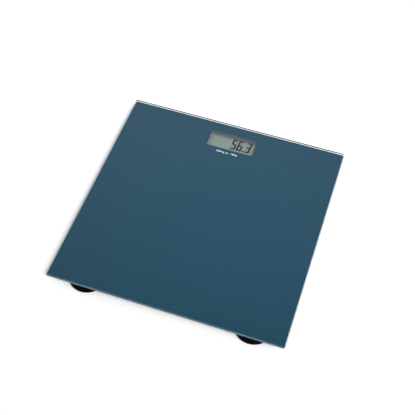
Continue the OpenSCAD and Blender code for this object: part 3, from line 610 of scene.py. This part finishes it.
def letterPlates(text):
    # the letters of a line as flat plates with thickness, in the font's own units: points and faces
    curve = bpy.data.curves.new("letters", "FONT")
    curve.body = text
    curve.resolution_u = 4
    curve.extrude = printedLine["raise"]
    curve.offset = printedLine["bold"]
    line = bpy.data.objects.new("letters", curve)
    bpy.context.scene.collection.objects.link(line)
    made = bpy.data.meshes.new_from_object(line.evaluated_get(bpy.context.evaluated_depsgraph_get()))
    bpy.data.objects.remove(line)
    at = np.zeros(len(made.vertices) * 3)
    made.vertices.foreach_get("co", at)
    return at.reshape(-1, 3), [list(p.vertices) for p in made.polygons]


def makePrint():
    # each group of letters scaled so that it has the width, height and thickness asked for
    ink = flatInk("whitePrint", looks["print"])
    under = boxOf("glass_platform")[0][2] + printedLine["above"]
    for i, (text, left, width) in enumerate(printedLine["groups"]):
        at, faces = letterPlates(text)
        size = at.max(0) - at.min(0)
        scaled = (at - at.min(0)) / size * [width, printedLine["height"], printedLine["thick"]]
        build(f"printedLine.{i}", scaled + [left, printedLine["foot"], under], faces, ink)


makeFigures()
makePrint()
print("display figures and print made")


gaugeLump = {"half": (4, 3.5), "rings": 10, "count": 40, "power": 3.0, "wobble": 0.05, "sharp": 60}


def wiresOf(corner):
    # the middles of a foot and its gauge, and the direction from one to the other, which the wires follow
    foot, gauge = (np.mean(boxOf(f"{kind}_{corner}"), axis=0)[:2] for kind in ("foot_tape", "strain_gauge"))
    return foot, gauge, math.atan2(*(gauge - foot)[::-1])


def makeGauges():
    # silicone over each gauge: rings of a superellipse, pushed in a little three times round, whose
    # height is the gauge's times the root of one less the cube of the ring's share of the full size
    lump = gaugeLump
    share = np.linspace(1, 0, lump["rings"])[:-1, None]
    turn = np.linspace(0, 2 * math.pi, lump["count"], endpoint=False)[None, :]
    ways = np.cos(turn), np.sin(turn)
    reach = sum(np.abs(way) ** lump["power"] for way in ways) ** (-1 / lump["power"])
    for i, corner in enumerate(corners):
        foot, gauge, angle = wiresOf(corner)
        low, high = boxOf(f"strain_gauge_{corner}")
        uneven = 1 + lump["wobble"] * (np.sin(3 * turn + i) - 1)
        x, y = (half * share * way * reach * uneven for half, way in zip(lump["half"], ways))
        z = low[2] + (high[2] - low[2]) * np.sqrt(1 - share ** 3) * np.ones_like(turn)
        across, along = math.cos(angle), math.sin(angle)
        at = [gauge[0] + across * x - along * y, gauge[1] + along * x + across * y, z]
        points = np.stack(at, axis=-1).reshape(-1, 3)
        faces = capped(len(share), lump["count"])
        piece = build(f"gaugeSilicone_{corner}", points, faces, gaugeSeal, sharp=lump["sharp"])
        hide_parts(f"strain_gauge_{corner}")
        dress(wireSkin(f"wires_{corner}", looks["wires"], foot, angle), f"cell_lead_{corner}")


makeGauges()
print("gauges and wires made")


# Floor, light and camera

studio = {                                       # the lamp and the floor's half size in metres
    "ambient": 0.67, "dimming": (0.55, 0.94), "floor": (244, 244, 244), "floorLift": 0.32, "reach": 6.0,
    "keyLamp": {
        "at": (0.75, -0.5, 1.1), "aim": (-0.06, 0.13, 0.02), "size": 0.45, "spread": 34, "watts": 0.84,
    },
}
photoView = {
    "azimuth": 17.507, "elevation": 54.484, "roll": 1.384,       # degrees
    "distance": 1.060905, "aim": (0.001316, 0.010062),           # metres
    "focal": 830.302, "picture": 415, "shift": (1.047, -2.883),  # pixels
    "sensor": 36,                                                # millimetres
}


def makeFloor():
    # a white square that shows and mirrors paler than it is lit, and takes the shadow
    far = studio["reach"]
    mesh = bpy.data.meshes.new("floor")
    mesh.from_pydata([(-far, -far, 0), (far, -far, 0), (far, far, 0), (-far, far, 0)], [], [(0, 1, 2, 3)])
    floor = bpy.data.objects.new("floor", mesh)
    bpy.context.scene.collection.objects.link(floor)
    made = Finish("floorPaper", Roughness=1.0, Specular_IOR_Level=0.0, Base_Color=shown(*studio["floor"]))
    lift = made.ray("Camera", "Glossy", "Transmission") * studio["floorLift"]
    made.wear(Emission_Color=(1, 1, 1, 1), Emission_Strength=lift)
    mesh.materials.append(made.material)


def makeWorld():
    # white for the camera, white low down and dim overhead in mirrors and glass, plainer for light
    world = bpy.data.worlds.new("studio")
    bpy.context.scene.world = world
    world.use_nodes = True
    made = Graph(world.node_tree)
    background = world.node_tree.nodes["Background"]
    height = made.along(made.add("TexCoord", {}, {}, "Generated"), "Z")
    mirrored = 1 - height.share(*studio["dimming"])
    camera, sharp = made.ray("Camera"), made.ray("Glossy", "Transmission")
    strength = camera + (1 - camera) * (sharp * mirrored + (1 - sharp) * studio["ambient"])
    background.inputs["Color"].default_value = (1, 1, 1, 1)
    made.feed(background.inputs["Strength"], strength)


def makeLamp():
    lamp = studio["keyLamp"]
    light = bpy.data.lights.new("keyLamp", "AREA")
    light.size = lamp["size"]
    light.spread = math.radians(lamp["spread"])
    light.energy = lamp["watts"]
    holder = bpy.data.objects.new("keyLamp", light)
    holder.location = lamp["at"]
    holder.rotation_mode = "QUATERNION"
    holder.rotation_quaternion = (Vector(lamp["aim"]) - Vector(lamp["at"])).to_track_quat("-Z", "Y")
    bpy.context.scene.collection.objects.link(holder)


def makeCamera():
    # the camera stands back from its aim on the glass along the photograph's line of sight, rolled a
    # little, and its lens is the focal length in pixels over the picture's width, times the sensor's
    turn, rise, roll = (math.radians(photoView[k]) for k in ("azimuth", "elevation", "roll"))
    back = Vector((math.sin(turn) * math.cos(rise), -math.cos(turn) * math.cos(rise), math.sin(rise)))
    level = (-back).cross(Vector((0, 0, 1))).normalized()
    upright = level.cross(-back)
    right = level * math.cos(roll) + upright * math.sin(roll)
    up = upright * math.cos(roll) - level * math.sin(roll)
    aim = Vector((*photoView["aim"], cadBox[1][2]))
    camera = bpy.data.cameras.new("camera")
    camera.sensor_width = photoView["sensor"]
    camera.lens = photoView["focal"] / photoView["picture"] * camera.sensor_width
    camera.shift_x, camera.shift_y = (s / photoView["picture"] for s in photoView["shift"])
    holder = bpy.data.objects.new("camera", camera)
    pose = Matrix((right, up, back)).transposed().to_4x4()
    holder.matrix_world = Matrix.Translation(aim + back * photoView["distance"]) @ pose
    bpy.context.scene.collection.objects.link(holder)
    bpy.context.scene.camera = holder
    bpy.context.scene.view_settings.view_transform = "Standard"


makeFloor()
makeWorld()
makeLamp()
makeCamera()
print("studio made")
